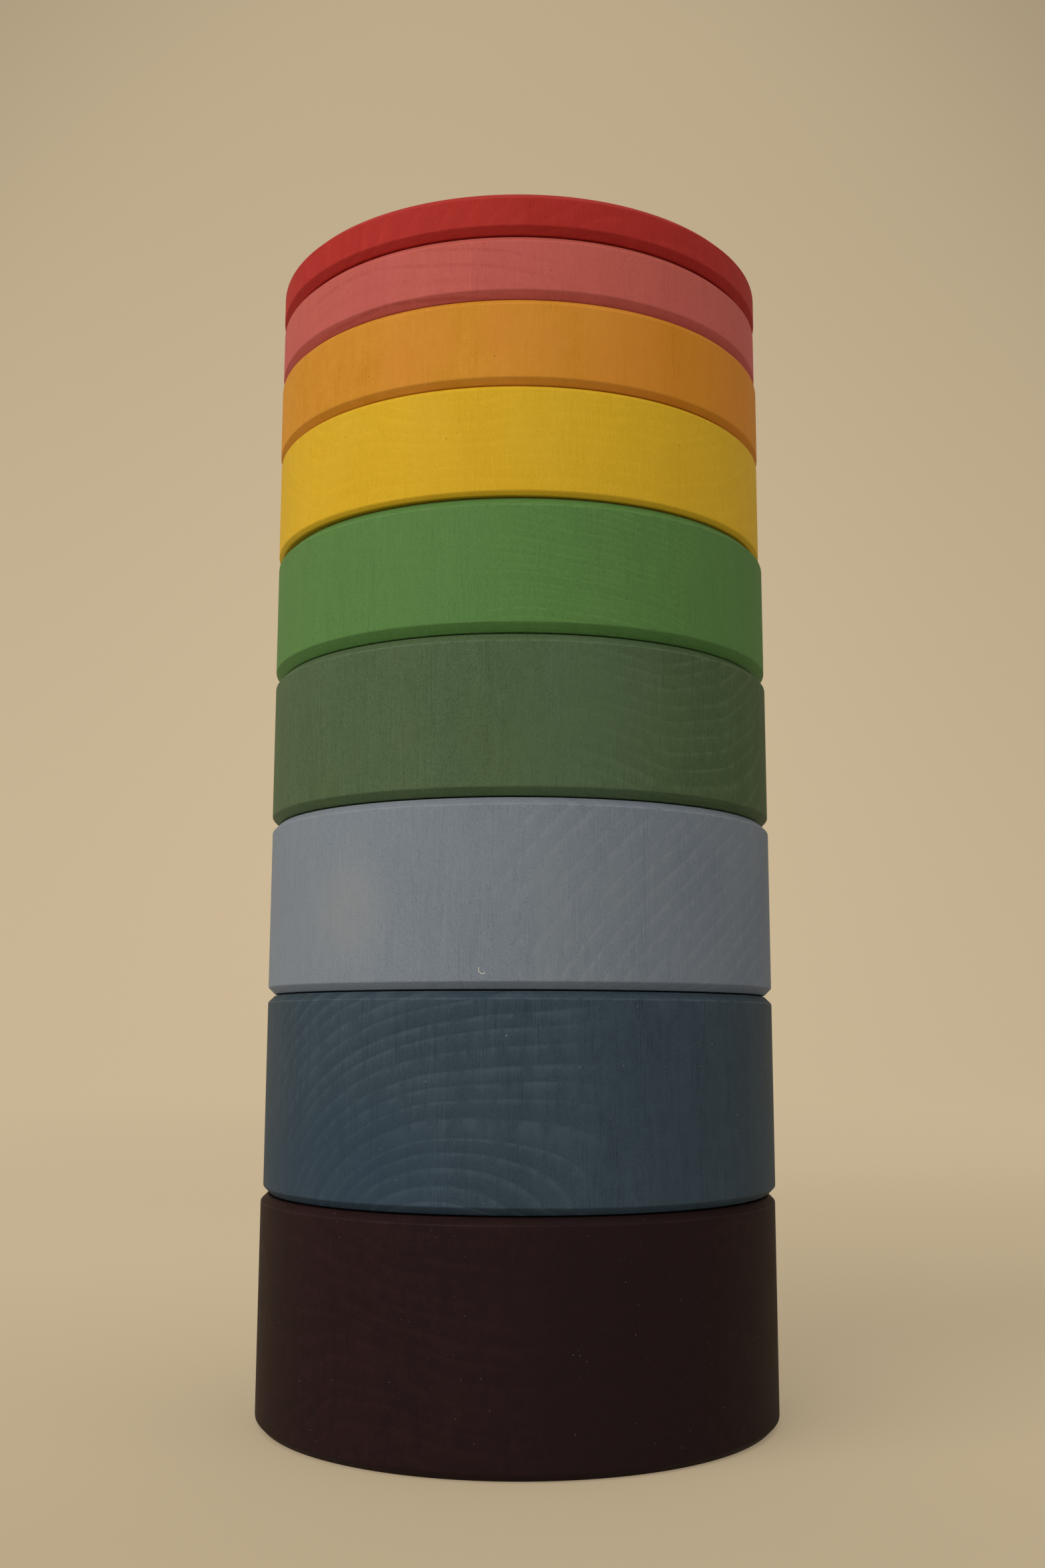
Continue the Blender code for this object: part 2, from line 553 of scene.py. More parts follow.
def draw_growth_rings(tree, given):
    years = calc(tree, "ADD", calc(tree, "DIVIDE", given["Radius"], given["Ring Width"]), given["Offset"])
    weather = {"W": pushed(tree, given["Seed"], (years, YEAR_DRIFT)), "Scale": 1}
    weather = add_node(tree, "ShaderNodeTexNoise", weather, noise_dimensions="1D")
    drift = calc(tree, "SUBTRACT", weather["Fac"], NOISE_MIDDLE)
    years = calc(tree, "ADD", product(tree, drift, given["Unevenness"]), years)
    lot = {"W": calc(tree, "ADD", calc(tree, "FLOOR", years), given["Seed"])}
    chance = add_node(tree, "ShaderNodeTexWhiteNoise", lot, noise_dimensions="1D")["Value"]

    season = calc(tree, "FRACT", years)
    late = ease(tree, season, *LATE_WOOD)
    shade = product(tree, calc(tree, "POWER", season, SEASON_POWER), late)
    line = product(tree, ease(tree, season, *LINE_RISE), late)
    bold = pushed(tree, LINE_LEAST, (chance, 1 - LINE_LEAST))
    return {
        "Shade": calc(tree, "SUBTRACT", shade, product(tree, chance, BAND_DARKENING)),
        "Line": product(tree, line, bold),
    }


growth_rings = new_group(
    "growth_rings",
    {"Radius": 0.0, "Ring Width": 1.0, "Unevenness": 0.8, "Offset": 0.0, "Seed": 0.0},
    draw_growth_rings,
)

# %% [markdown]
# ## Rays
# Rays are thin sheets of cells that run out from the pith like spokes. They show as hair lines on a
# face and as short upright flecks on a rim. A noise over the spokes draws them: it is very narrow
# across a spoke and changes slowly along it.

# %% Ray group
RAY_REACH = 60.0
RAY_HEIGHT = 1.3
RAY_LENGTH = 5.0


def draw_wood_rays(tree, given):
    across = calc(tree, "DIVIDE", given["Ray Width"], RAY_REACH)
    grain = join_axes(tree, across, across, RAY_HEIGHT)
    along = calc(tree, "DIVIDE", given["Radius"], RAY_LENGTH)
    return {"Streak": swing(tree, noise(tree, given["Spoke"], grain, depth=along))}


wood_rays = new_group("wood_rays", {"Spoke": ORIGIN, "Radius": 0.0, "Ray Width": 0.25}, draw_wood_rays)

# %% [markdown]
# ## Fibres and sanding lines
# Hair lines run up and down the rim, from the fibres and from a belt. They are noise too, stretched
# along Z: a fine one, a coarse one, and dark hair lines, which are only the peaks of a third. Fine
# and dark lines come in bundles, so a slower noise says where they gather.

# %% Sanding group
FINE_GRAIN = (0.3, 0.3, 7.0)
COARSE_GRAIN = (1.3, 1.3, 30.0)
HAIR_GRAIN = (0.34, 0.34, 16.0)
HAIR_PEAKS = (0.66, 0.8)
HAIR_OFFSET = (0.0, 0.0, 500.0)
BUNDLE_GRAIN = (5.0, 5.0, 26.0)
BUNDLED = (0.36, 0.66)
FINE_LEAST = 0.25


def draw_sanding_lines(tree, given):
    moved = seeded(tree, given)
    bundled = ease(tree, noise(tree, moved, BUNDLE_GRAIN, 1.0), *BUNDLED)
    fine = swing(tree, noise(tree, moved, FINE_GRAIN))
    elsewhere = vector_calc(tree, "ADD", moved, HAIR_OFFSET)
    hair = ease(tree, noise(tree, elsewhere, HAIR_GRAIN), *HAIR_PEAKS)
    return {
        "Fine": product(tree, fine, pushed(tree, FINE_LEAST, (bundled, 1 - FINE_LEAST))),
        "Coarse": swing(tree, noise(tree, moved, COARSE_GRAIN, 1.0)),
        "Hair": product(tree, hair, bundled),
    }


sanding_lines = new_group("sanding_lines", {"Point": ORIGIN, "Seed": 0.0}, draw_sanding_lines)

# %% [markdown]
# ## How the stain took
# Stain never dries quite evenly. It leaves soft clouds a few centimetres wide, a second hue here and
# there, upright bands a few millimetres wide where the grain drank more, and a mottle of half that
# size. Four noises of different sizes give the four of them.

# %% Stain clouds group
CLOUD_GRAIN = (22.0, 22.0, 22.0)
HUE_GRAIN = (16.0, 16.0, 30.0)
HUE_SPOTS = (0.4, 0.7)
HUE_OFFSET = (300.0, 0.0, 0.0)
BAND_GRAIN = (5.5, 5.5, 70.0)
MOTTLE_GRAIN = (2.4, 2.4, 3.4)


def draw_stain_clouds(tree, given):
    moved = seeded(tree, given)
    elsewhere = vector_calc(tree, "ADD", moved, HUE_OFFSET)
    return {
        "Cloud": swing(tree, noise(tree, moved, CLOUD_GRAIN, 2.0)),
        "Hue": ease(tree, noise(tree, elsewhere, HUE_GRAIN, 2.0), *HUE_SPOTS),
        "Band": swing(tree, noise(tree, moved, BAND_GRAIN, 1.5)),
        "Mottle": noise(tree, elsewhere, MOTTLE_GRAIN, 2.0),
    }


stain_clouds = new_group("stain_clouds", {"Point": ORIGIN, "Seed": 0.0}, draw_stain_clouds)

# %% [markdown]
# ## A patch of another shade
# Five discs have one large patch of another colour. It is a soft ellipsoid with its middle on the rim,
# and a noise frays its edge.

# %% Soft patch group
FRAY_GRAIN = (5.0, 5.0, 14.0)
FRAY = 0.5


def draw_soft_patch(tree, given):
    away = vector_calc(tree, "SUBTRACT", given["Point"], given["Middle"])
    away = vector_calc(tree, "LENGTH", vector_calc(tree, "DIVIDE", away, given["Reach"]))
    fray = swing(tree, noise(tree, given["Point"], FRAY_GRAIN, 2.0), FRAY)
    outer = calc(tree, "ADD", given["Softness"], 1.0)
    inner = calc(tree, "SUBTRACT", 1.0, given["Softness"])
    return {"Patch": ease(tree, calc(tree, "ADD", away, fray), outer, inner)}


soft_patch = new_group(
    "soft_patch",
    {"Point": ORIGIN, "Middle": ORIGIN, "Reach": (10.0, 10.0, 10.0), "Softness": 0.3},
    draw_soft_patch,
)

# %% [markdown]
# ## Pores and pits
# Close up, wood is full of cut vessels. They are about as fine as a hair and darker where the stain
# pooled, and between them the surface has a fine tooth. Both come from one fine noise: all of it is
# the tooth, and its deepest places are the pores. A few larger pits are knots of bark or dents. They
# are the near surroundings of scattered points, kept for a share of the points and a little upright.

# %% Pores group
PORE_GRAIN = (0.3, 0.3, 0.42)
PORE_DEPTHS = (0.42, 0.28)
PIT_SPACING = 2.5
PIT_STRETCH = (1.0, 1.0, 0.6)
PIT_EDGE = (1.3, 0.6)
SPECK_LEAST = 0.05
SPECK_GROWTH = 0.08
SPECK_POWER = 3.0


def scattered(tree, point, spacing):
    """The scattered point nearest by, how far it is in millimetres, and three random numbers of it."""
    nearest = add_node(tree, "ShaderNodeTexVoronoi", {"Vector": point, "Scale": 1 / spacing})
    lot = add_node(tree, "ShaderNodeSeparateColor", {"Color": nearest["Color"]})
    return nearest, product(tree, nearest["Distance"], spacing), lot


def speck_size(tree, chance):
    """Half of a speck's width: many are small and few are larger."""
    return pushed(tree, SPECK_LEAST, (calc(tree, "POWER", chance, SPECK_POWER), SPECK_GROWTH))


def draw_pores(tree, given):
    moved = seeded(tree, given)
    tooth = noise(tree, moved, PORE_GRAIN, 1.0)
    nearest, away, lot = scattered(tree, vector_calc(tree, "MULTIPLY", moved, PIT_STRETCH), PIT_SPACING)
    kept = calc(tree, "LESS_THAN", lot["Red"], given["Pit Share"])
    pit = ease(tree, calc(tree, "DIVIDE", away, speck_size(tree, lot["Green"])), *PIT_EDGE)
    return {
        "Tooth": swing(tree, tooth),
        "Pore": ease(tree, tooth, *PORE_DEPTHS),
        "Pit": product(tree, kept, pit),
    }


pores = new_group("pores", {"Point": ORIGIN, "Pit Share": 0.1, "Seed": 0.0}, draw_pores)

# %% [markdown]
# ## Worn rims with a painted highlight
# Handling rubs the stain off the sharp lines where a chamfer meets the rim or the face, and the same
# mask paints a highlight along them, most of all on the upper side, which faces the light. The group
# measures how far a point lies from those four circles. Near them, broken up by noise, the colour is
# paler: in part thin stain, in part painted highlight.

# %% Rim wear and painted highlight group
WEAR_GRAIN = (2.5, 2.5, 1.2)
WEAR_GAIN = 3.0
WEAR_SHIFT = -0.7
WEAR_LEAST = 0.05
WEAR_EDGE = (1.0, 0.2)
LIT_UPPER_SIDE = (5.0, 3.0)
LOWER_WEAR_AND_HIGHLIGHT = 0.2


def draw_rim_wear(tree, given):
    axes = split_axes(tree, given["Point"])
    across = calc(tree, "SUBTRACT", axes["X"], given["Shift"])
    from_rim = apart(tree, given["Radius"], hypotenuse(tree, across, axes["Y"]))
    from_face = [apart(tree, axes["Z"], given[side]) for side in ("Bottom", "Top")]
    from_face = calc(tree, "MINIMUM", *from_face)
    edges = [
        hypotenuse(tree, one, calc(tree, "SUBTRACT", other, given["Chamfer"]))
        for one, other in ((from_rim, from_face), (from_face, from_rim))
    ]
    patchy = noise(tree, seeded(tree, given), WEAR_GRAIN, 2.0)
    width = product(tree, given["Width"], pushed(tree, WEAR_SHIFT, (patchy, WEAR_GAIN)))
    width = calc(tree, "MAXIMUM", width, WEAR_LEAST)
    worn_and_highlit = ease(tree, calc(tree, "DIVIDE", calc(tree, "MINIMUM", *edges), width), *WEAR_EDGE)
    # Painted highlight: edges on the upper side, which face the light, are paler than the lower ones.
    upper = ease(tree, calc(tree, "SUBTRACT", given["Top"], axes["Z"]), *LIT_UPPER_SIDE)
    return {"Worn": product(tree, worn_and_highlit, pushed(tree, LOWER_WEAR_AND_HIGHLIGHT, (upper, 1 - LOWER_WEAR_AND_HIGHLIGHT)))}


rim_wear = new_group(
    "rim_wear",
    {"Point": ORIGIN, "Shift": 0.0, "Radius": 60.0, "Bottom": 0.0, "Top": 10.0, "Chamfer": 1.5,
     "Width": 0.35, "Seed": 0.0},
    draw_rim_wear,
)

# %% [markdown]
# ## Dust and lint
# A dark matt stain shows every speck. Dots are small balls round scattered points. A hair of lint is
# the thin skin of a larger ball, cut short by a small ball round the same point, which leaves a
# curved thread about a millimetre long.

# %% Lint group
DOT_SPACING = 1.5
DOT_EDGE = (1.3, 0.4)
DOT_FAINTEST = 0.2
LINT_SPACING = 6.0
LINT_SHARE = 0.5
LINT_CURVE = 1.1
LINT_SKIN = (0.0675, 0.0225)
LINT_LEAST = 0.4
LINT_GROWTH = 0.9
LINT_STRENGTH = 0.7


def dust_dots(tree, point, share):
    nearest, away, lot = scattered(tree, point, DOT_SPACING)
    kept = calc(tree, "LESS_THAN", lot["Red"], share)
    dot = ease(tree, calc(tree, "DIVIDE", away, speck_size(tree, lot["Blue"])), *DOT_EDGE)
    return product(tree, dot, kept, pushed(tree, DOT_FAINTEST, (lot["Green"], 1 - DOT_FAINTEST)))


def lint_hairs(tree, point, share):
    nearest, away, lot = scattered(tree, point, LINT_SPACING)
    kept = calc(tree, "LESS_THAN", lot["Red"], product(tree, share, LINT_SHARE))
    middle = vector_calc(tree, "MULTIPLY", nearest["Position"], (LINT_SPACING,) * 3)
    aside = vector_calc(tree, "SUBTRACT", nearest["Color"], (NOISE_MIDDLE,) * 3)
    aside = vector_calc(tree, "MULTIPLY", vector_calc(tree, "NORMALIZE", aside), (LINT_CURVE,) * 3)
    from_ball = vector_calc(tree, "DISTANCE", point, vector_calc(tree, "ADD", middle, aside))
    skin = ease(tree, apart(tree, from_ball, LINT_CURVE), *LINT_SKIN)
    short = calc(tree, "LESS_THAN", away, pushed(tree, LINT_LEAST, (lot["Blue"], LINT_GROWTH)))
    return product(tree, skin, short, kept, LINT_STRENGTH)


def draw_lint(tree, given):
    moved = seeded(tree, given)
    dots = dust_dots(tree, moved, given["Share"])
    hairs = lint_hairs(tree, moved, given["Share"])
    return {"Speck": calc(tree, "MAXIMUM", dots, hairs)}


lint = new_group("lint", {"Point": ORIGIN, "Share": 0.1, "Seed": 0.0}, draw_lint)

# %% [markdown]
# ## One fibre in its own place
# On the light blue disc a single pale fibre catches the eye, low in the middle. It is made as lint
# is, but its place is given. Where no place is given it lies far above the tower, and nothing shows.

# %% Lone fibre group
FIBRE_SKIN = (0.14, 0.05)


def draw_lone_fibre(tree, given):
    ball = vector_calc(tree, "ADD", given["Middle"], given["Bow"])
    from_ball = vector_calc(tree, "DISTANCE", given["Point"], ball)
    skin = ease(tree, apart(tree, from_ball, vector_calc(tree, "LENGTH", given["Bow"])), *FIBRE_SKIN)
    away = vector_calc(tree, "DISTANCE", given["Point"], given["Middle"])
    return {"Speck": product(tree, skin, calc(tree, "LESS_THAN", away, given["Reach"]))}


lone_fibre = new_group(
    "lone_fibre",
    {"Point": ORIGIN, "Middle": ORIGIN, "Bow": (0.5, 0.0, 0.6), "Reach": 1.1},
    draw_lone_fibre,
)

# %% [markdown]
# ## Where the rings show
# On a real disc the rings are bold round one place on the rim and fade elsewhere, because the cut
# crosses them at another angle there. The same happens across the disc, so the place is mirrored to
# the back. Mottle and fibres break the rings up. The flat faces are end grain, and the rings are
# boldest there.

# %% Ring strength
FOCUS_SQUASH = (1.0, 1.0, 0.4)
FOCUS_CORE = 0.55
FLATNESS = (0.85, 0.97)
FACE_SHADE = 0.45
FACE_LINE = 0.35
SHADE_MIDDLE = 0.15
WHOLE_LEAST = 0.2
WHOLE_SPOTS = (0.32, 0.6)
WHOLE_BY_MOTTLE = 0.8
WHOLE_BY_FIBRES = 0.3


def around(tree, point, middle, reach):
    """1 near a spot on the rim and 0 beyond its reach. It reaches further up and down than sideways."""
    away = squashed_distance(tree, point, middle, FOCUS_SQUASH)
    return ease(tree, away, reach, reach * FOCUS_CORE)


def on_face(tree):
    """1 on the flat faces, 0 on rim, chamfers and bore."""
    normal = split_axes(tree, tree.nodes.new("ShaderNodeTexCoord").outputs["Normal"])
    return ease(tree, calc(tree, "ABSOLUTE", normal["Z"]), *FLATNESS)


def ring_pushes(tree, look, point, rings, mottle, fine):
    """How the rings push the tone: their shades and pale lines, on the rim and on the faces."""
    x, y, z = look["focus"]
    near_focus = [around(tree, point, spot, look["focus_reach"]) for spot in ((x, y, z), (-x, -y, z))]
    near_focus = calc(tree, "MAXIMUM", *near_focus)
    shown = pushed(tree, look["far_rings"], (near_focus, 1 - look["far_rings"]))
    by_mottle = ease(tree, mottle, *WHOLE_SPOTS)
    whole = pushed(tree, WHOLE_LEAST, (by_mottle, WHOLE_BY_MOTTLE), (fine, WHOLE_BY_FIBRES))
    shown = product(tree, shown, whole)
    face = on_face(tree)
    shade = calc(tree, "SUBTRACT", rings["Shade"], SHADE_MIDDLE)
    return [
        (product(tree, shade, shown), look["ring_shade"]),
        (product(tree, rings["Line"], shown), look["ring_line"]),
        (product(tree, shade, face), FACE_SHADE),
        (product(tree, rings["Line"], face), FACE_LINE),
    ]


print("rings are boldest within", FOCUS_CORE, "of their reach")

# %% [markdown]
# ## A wooden surface
# Every wood reads its texture in millimetres at the rest pose, so the grain stays in the piece when
# it moves. Colour, roughness and a relief of a few hundredths of a millimetre go to the shader, and
# the relief keeps reflections broad, as on sanded wood.

# %% Surface helpers
RELIEF = 0.06 * MM


def millimetres(tree):
    """The point on the piece in millimetres, in the frame of the model at rest."""
    place = tree.nodes.new("ShaderNodeTexCoord").outputs["Object"]
    return vector_calc(tree, "MULTIPLY", place, (1 / MM,) * 3)


def finish_surface(tree, shader, colour, roughness, height, strength):
    bump = {"Distance": RELIEF, "Strength": strength, "Height": height}
    relief = add_node(tree, "ShaderNodeBump", bump)["Normal"]
    for label, value in (("Base Color", colour), ("Roughness", roughness), ("Normal", relief)):
        feed(tree, shader.inputs[label], value)


print("relief of", RELIEF / MM, "mm")

# %% [markdown]
# ## Settings of a stain
# All nine discs share one recipe, and these are its usual settings. Lengths and places are in
# millimetres, the lean of the log is in degrees, and most others say how far an effect moves the
# stain between its dark and its light end. Each disc names only what differs.

# %% Usual look
FAR_AWAY = (0.0, 0.0, 999.0)
LOOK = {
    "pith": ORIGIN, "lean": (0, 0, 0), "wander": 1.0,
    "ring_width": 1.1, "unevenness": 0.8, "ring_offset": 0.0, "ring_shade": 0.1, "ring_line": 0.2,
    "focus": (0.0, -60.0, 0.0), "focus_reach": 60.0, "far_rings": 0.25,
    "ray": 0.1, "sanding": 0.08, "coarse_sanding": 0.06, "hair": 0.3, "tooth": 0.16, "pore": 0.2,
    # drift is painted shade across a disc, darker towards the right.
    "cloud": 0.12, "band": 0.06, "mottle": 0.06, "hue": 0.25, "drift": 0.0,
    "patch": FAR_AWAY, "patch_reach": (10.0, 30.0, 20.0), "patch_colour": (128, 128, 128),
    "patch_share": 0.5, "patch_softness": 0.7,
    # The rim edges' paleness is part thin stain and part painted highlight.
    "pit_share": 0.15, "wear": 0.2, "fibre": FAR_AWAY,
    "lint": 0.02, "lint_colour": (190, 180, 165), "gloss": 0.1,
}
print(len(LOOK), "settings")

# %% [markdown]
# ## Stained wood
# The stain has a dark and a light end, and every effect pushes the tone towards one of them: rings,
# rays, sanding lines, clouds and bands, and a slow drift from left to right, which is painted shade
# that darkens a disc's right side. Then come a second hue, the patch, dark pits, paler rim edges that
# are part thin stain and part painted highlight, and dust. Each effect reads its noise at a distance
# of its own, a step times the disc's seed, so no two discs match.

# %% Stained wood
SEED_STEPS = {
    "sanding_lines": 31.0, "stain_clouds": 57.0, "pores": 13.0, "rim_wear": 17.0, "lint": 23.0,
}
MIDDLE_TONE = 0.5
RIM_REACH = 60.0
PIT_COVER = 0.6
PIT_DARKNESS = 0.35
WEAR_AND_HIGHLIGHT_PALENESS = 0.18
STAIN_ROUGHNESS = 0.6
FINE_ROUGHNESS = 0.05
CLOUD_ROUGHNESS = 0.04
WORN_ROUGHNESS = -0.08
MIDDLE_HEIGHT = 0.5
FINE_RELIEF = 0.3
RAY_RELIEF = 0.2
TOOTH_RELIEF = 0.3
PIT_RELIEF = -2.0
STAIN_RELIEF = 0.6


def stained_wood(name, node, chamfer, radius, shift, seed, dark, light, second, **changes):
    """The wood of one disc: its node, its turned sizes, a seed, three stains and its own settings."""
    look = LOOK | changes
    material, tree, shader = new_material(name)
    point = millimetres(tree)
    low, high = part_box(node)

    def placed(group, values):
        """A shared effect at this point, with a seed of its own where it takes one."""
        given = {"Point": point} | values
        if group.name in SEED_STEPS:
            given["Seed"] = seed * SEED_STEPS[group.name]
        return place_group(tree, group, given)

    lean = tuple(math.radians(degrees) for degrees in look["lean"])
    log = placed(log_space, {"Pith": look["pith"], "Lean": lean, "Wander": look["wander"]})
    rings = place_group(tree, growth_rings, {
        "Radius": log["Radius"], "Ring Width": look["ring_width"], "Unevenness": look["unevenness"],
        "Offset": look["ring_offset"], "Seed": seed,
    })
    rays = place_group(tree, wood_rays, {"Spoke": log["Spoke"], "Radius": log["Radius"]})
    rubbed = placed(sanding_lines, {})
    clouds = placed(stain_clouds, {})
    holes = placed(pores, {"Pit Share": look["pit_share"]})
    rims = placed(rim_wear, {
        "Shift": shift / MM, "Radius": radius / MM, "Bottom": low.z / MM, "Top": high.z / MM,
        "Chamfer": chamfer / MM,
    })
    patch = placed(soft_patch, {
        "Middle": look["patch"], "Reach": look["patch_reach"], "Softness": look["patch_softness"],
    })
    dust = placed(lint, {"Share": look["lint"]})
    fibre = placed(lone_fibre, {"Middle": look["fibre"]})

    # Painted shade: with a negative drift the tone falls towards the right, the side turned from the
    # window.
    across = vector_calc(tree, "DOT_PRODUCT", point, (1 / RIM_REACH, 0.0, 0.0))
    tone = pushed(
        tree, MIDDLE_TONE, *ring_pushes(tree, look, point, rings, clouds["Mottle"], rubbed["Fine"]),
        (rays["Streak"], look["ray"]), (rubbed["Fine"], look["sanding"]),
        (rubbed["Coarse"], look["coarse_sanding"]), (clouds["Cloud"], look["cloud"]),
        (clouds["Band"], look["band"]), (swing(tree, clouds["Mottle"]), look["mottle"]),
        (rubbed["Hair"], -look["hair"]), (holes["Tooth"], look["tooth"]), (holes["Pore"], -look["pore"]),
        (across, look["drift"]),
    )
    deep = tuple(channel * PIT_DARKNESS for channel in dark)
    # Paler rim edges: part thin stain, part painted highlight on the upper edges that face the light.
    bare_and_highlit = tuple(channel + (255 - channel) * WEAR_AND_HIGHLIGHT_PALENESS for channel in light)
    layers = [
        (product(tree, clouds["Hue"], look["hue"]), second),
        (product(tree, patch["Patch"], look["patch_share"]), look["patch_colour"]),
        (product(tree, holes["Pit"], PIT_COVER), deep),
        (product(tree, rims["Worn"], look["wear"]), bare_and_highlit),
        (calc(tree, "MAXIMUM", dust["Speck"], fibre["Speck"]), look["lint_colour"]),
    ]
    colour = blend_colour(tree, tone, linear(*dark), linear(*light))
    for share, layer in layers:
        colour = blend_colour(tree, share, colour, linear(*layer))
    roughness = pushed(
        tree, STAIN_ROUGHNESS, (rubbed["Fine"], FINE_ROUGHNESS), (clouds["Cloud"], CLOUD_ROUGHNESS),
        (rims["Worn"], WORN_ROUGHNESS),
    )
    height = pushed(
        tree, MIDDLE_HEIGHT, (rubbed["Fine"], FINE_RELIEF), (rays["Streak"], RAY_RELIEF),
        (holes["Tooth"], TOOTH_RELIEF), (holes["Pit"], PIT_RELIEF),
    )
    finish_surface(tree, shader, colour, roughness, height, STAIN_RELIEF)
    shader.inputs["Specular IOR Level"].default_value = look["gloss"]
    return material


print("stained wood ready, with", len(SEED_STEPS), "seeded effects")

# %% [markdown]
# ## A loose disc
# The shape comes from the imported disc: its seat, its height and its bore. By hand, a chamfer wanders
# by a tenth of a millimetre and its edges are lightly sanded, so the outline is softened and made a
# little uneven. The real discs also differ by a few tenths in diameter and sit a little off centre in
# the play round the post, and each disc keeps its own values for that. A shallow ring underneath
# comes down almost to the disc below, so that no light shows through the seam.

# %% Disc shape
DISC_SIDES = 240
BORE_RADIUS = 11 * MM
BORE_CHAMFER = 1 * MM
EDGE_SOFTNESS = 0.25 * MM
EDGE_STEPS = 2
CHAMFER_WANDER = 0.12 * MM
RIM_WANDER = 0.04 * MM
SEAT_INSET = 3 * MM
SEAT_DROP = 0.25 * MM
FLAT_WEIGHT = 80
UPPER_SEED = 100
RIM_SEED = 200


def even_shading(piece):
    """Let large faces rule the shading, so that flats look flat up to their softened edges."""
    shading = piece.modifiers.new("even_shading", "WEIGHTED_NORMAL")
    shading.mode = "FACE_AREA"
    shading.weight = FLAT_WEIGHT


def dress(piece, node, body, material):
    """Give a turned piece its material and its place in the fixed frame."""
    piece.data.materials.append(material)
    even_shading(piece)
    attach(piece, body)
    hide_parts(node)


def loose_disc(name, seed, radius, shift, chamfer, material):
    """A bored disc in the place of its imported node, shifted sideways by its play."""
    low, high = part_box(name)
    lower = ripple(seed, CHAMFER_WANDER)
    upper = ripple(seed + UPPER_SEED, CHAMFER_WANDER)
    round_rim = ripple(seed + RIM_SEED, RIM_WANDER)
    mouth = BORE_RADIUS + BORE_CHAMFER
    seat = low.z - SEAT_DROP

    def outline_at(angle):
        rim = radius - RIM_WANDER + round_rim(angle)
        below = chamfer + lower(angle)
        above = chamfer + upper(angle)
        seat_edge = rim - chamfer - SEAT_INSET
        turned = soften([
            (rim - below, low.z), (rim, low.z + below), (rim, high.z - above), (rim - above, high.z),
            (mouth, high.z), (BORE_RADIUS, high.z - BORE_CHAMFER), (BORE_RADIUS, seat + BORE_CHAMFER),
            (mouth, seat),
        ], EDGE_SOFTNESS, EDGE_STEPS)
        return turned + [(seat_edge - SEAT_DROP, seat), (seat_edge, low.z)]

    piece = lathe(name + "_turned", outline_at, DISC_SIDES, closed=True)
    piece.data.transform(Matrix.Translation((shift, 0, 0)))
    colour = name.replace("_disc", "")
    dress(piece, name, colour, material)
    print(name, "radius", round(radius / MM, 2), "mm, height", round((high.z - low.z) / MM, 1), "mm")


def disc(name, seed, radius, shift, chamfer, dark, light, second, **changes):
    """A loose disc with its own stained wood, its sizes in millimetres."""
    radius, shift, chamfer = radius * MM, shift * MM, chamfer * MM
    wood = stained_wood(name + "_wood", name, chamfer, radius, shift, seed, dark, light, second, **changes)
    loose_disc(name, seed, radius, shift, chamfer, wood)


print("a disc has", DISC_SIDES, "sides")

# %% [markdown]
# ## The red disc
# The thinnest disc lies on top, and little of its rim shows. The stain covers well, so only a few
# soft brush-like streaks are left.

# %% Red disc
# Its drift is painted shade that darkens the right side.
disc("red_disc", 1, 59.4, -0.35, 1.6, (154, 36, 30), (175, 49, 41), (165, 51, 31),
     pith=(8.0, -10.0, 265.0), lean=(18, 10, 0), ring_width=1.6, ring_shade=0.34, far_rings=0.8,
     hair=0.2, band=0.16, hue=0.2, drift=-0.12, wear=0.06, gloss=0.06)

# %% [markdown]
# ## The pink disc
# Upright soft bands, and a few faint dark lines that wave along the rim at the left.

# %% Pink disc
disc("pink_disc", 2, 59.25, -0.4, 1.7, (171, 78, 66), (195, 98, 85), (191, 87, 91),
     pith=(-9.0, 20.0, 250.0), lean=(45, 0, 0), wander=2.0, ring_width=3.0, ring_offset=0.5,
     ring_line=-0.8, focus=(-24.0, -54.0, 250.0), focus_reach=38.0, far_rings=0.1,
     coarse_sanding=0.05, tooth=0.12, band=0.14, pit_share=0.25, wear=0.1, gloss=0.06)

# %% [markdown]
# ## The orange disc
# Plain wood with soft upright bands, a few fine dark dashes and a deeper orange on its right side.

# %% Orange disc
disc("orange_disc", 3, 59.5, -0.3, 1.4, (186, 119, 24), (209, 143, 49), (204, 131, 51),
     pith=(10.0, 0.0, 235.0), lean=(-20, 12, 0), ring_shade=0.06, ring_line=0.05,
     coarse_sanding=0.05, cloud=0.2, band=0.12, mottle=0.18, hue=0.5,
     patch=(45.0, -40.0, 235.0), patch_reach=(26.0, 40.0, 30.0), patch_colour=(200, 112, 10),
     patch_share=0.35, pit_share=0.5, wear=0.12, gloss=0.05)

# %% [markdown]
# ## The yellow disc
# The palest stain hides the wood best. What shows are fine upright lines, a few dark pits, and very
# faint slanting waves.

# %% Yellow disc
disc("yellow_disc", 4, 59.3, -0.3, 0.9, (195, 150, 24), (218, 172, 41), (208, 168, 52),
     pith=(0.0, 18.0, 212.0), lean=(24, 0, 0), wander=2.0, ring_line=0.12, far_rings=1.0,
     sanding=0.06, coarse_sanding=0.04, hair=0.25, tooth=0.14, pit_share=0.8, wear=0.1, gloss=0.05)

# %% [markdown]
# ## The green disc
# Faint level bands right of the middle are rings cut at a low angle. Its chamfers came out wide.

# %% Green disc
# Its drift is painted shade that darkens the right side.
disc("green_disc", 5, 59.65, 0.1, 2.0, (74, 110, 53), (92, 130, 67), (92, 124, 54),
     pith=(-8.3, -0.5, 184.5), lean=(26.6, 15.7, 0), ring_width=0.9, ring_shade=0.22, ring_line=0.36,
     focus=(18.0, -57.0, 184.0), focus_reach=30.0, far_rings=0.08, sanding=0.18, tooth=0.3,
     cloud=0.06, band=0.04, hue=0.1, drift=-0.1, pit_share=1.0)
